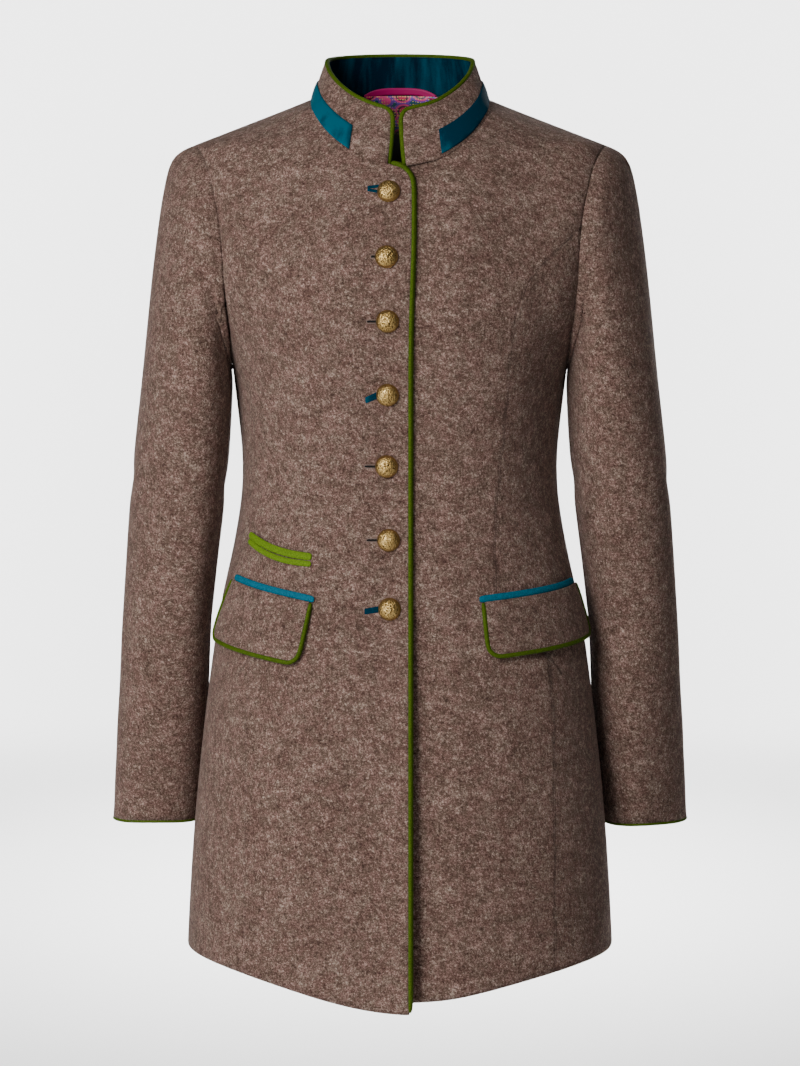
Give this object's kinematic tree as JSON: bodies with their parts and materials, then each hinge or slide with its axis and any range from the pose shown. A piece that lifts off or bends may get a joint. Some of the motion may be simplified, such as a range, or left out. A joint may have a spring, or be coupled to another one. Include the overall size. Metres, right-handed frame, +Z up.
{
  "type": "long blazer, worn shape with no wearer",
  "caption": "Long fitted wool blazer with stand collar, piped front edge and cuffs, velvet collar band, flap pockets and domed buttons, shaped as worn and hollow inside.",
  "frame": {"origin": "between the two points where the collar meets the shoulder seams, where the wearer's shoulders hold the garment", "axes": "+Z up, the front faces -Y, +X towards the wearer's left"},
  "size_m": [0.543, 0.2785, 0.8572],
  "materials": {
    "wool": "brown-taupe boiled wool melange with a short felted nap",
    "velvet": "teal cotton velvet with a soft sheen",
    "green_piping": "moss-green felted piping",
    "green_felt": "bright green felt welt",
    "teal_piping": "teal felted welt",
    "brass": "antique brass with darkened hollows",
    "magenta_tape": "magenta satin tape",
    "lining": "printed lining in pink, teal, orange and purple"
  },
  "bodies": {
    "root": {"front_right": "wool", "front_left": "wool", "side_front_right": "wool", "side_front_left": "wool", "back_right": "wool", "back_left": "wool", "sleeve_upper_right": "wool", "sleeve_upper_left": "wool", "sleeve_under_right": "wool", "sleeve_under_left": "wool", "flap_right": "wool", "flap_left": "wool", "collar": "wool", "collar_facing": "velvet", "collar_band": "velvet", "collar_piping": "green_piping", "front_piping": "green_piping", "cuff_piping_right": "green_piping", "cuff_piping_left": "green_piping", "flap_piping_right": "green_piping", "flap_piping_left": "green_piping", "flap_welt_right": "teal_piping", "flap_welt_left": "teal_piping", "ticket_welt_upper": "green_felt", "ticket_welt_lower": "green_felt", "button_1": "brass", "button_2": "brass", "button_3": "brass", "button_4": "brass", "button_5": "brass", "button_6": "brass", "button_7": "brass", "hanger_loop": "magenta_tape", "neck_lining": "lining"}
  },
  "joints": []
}
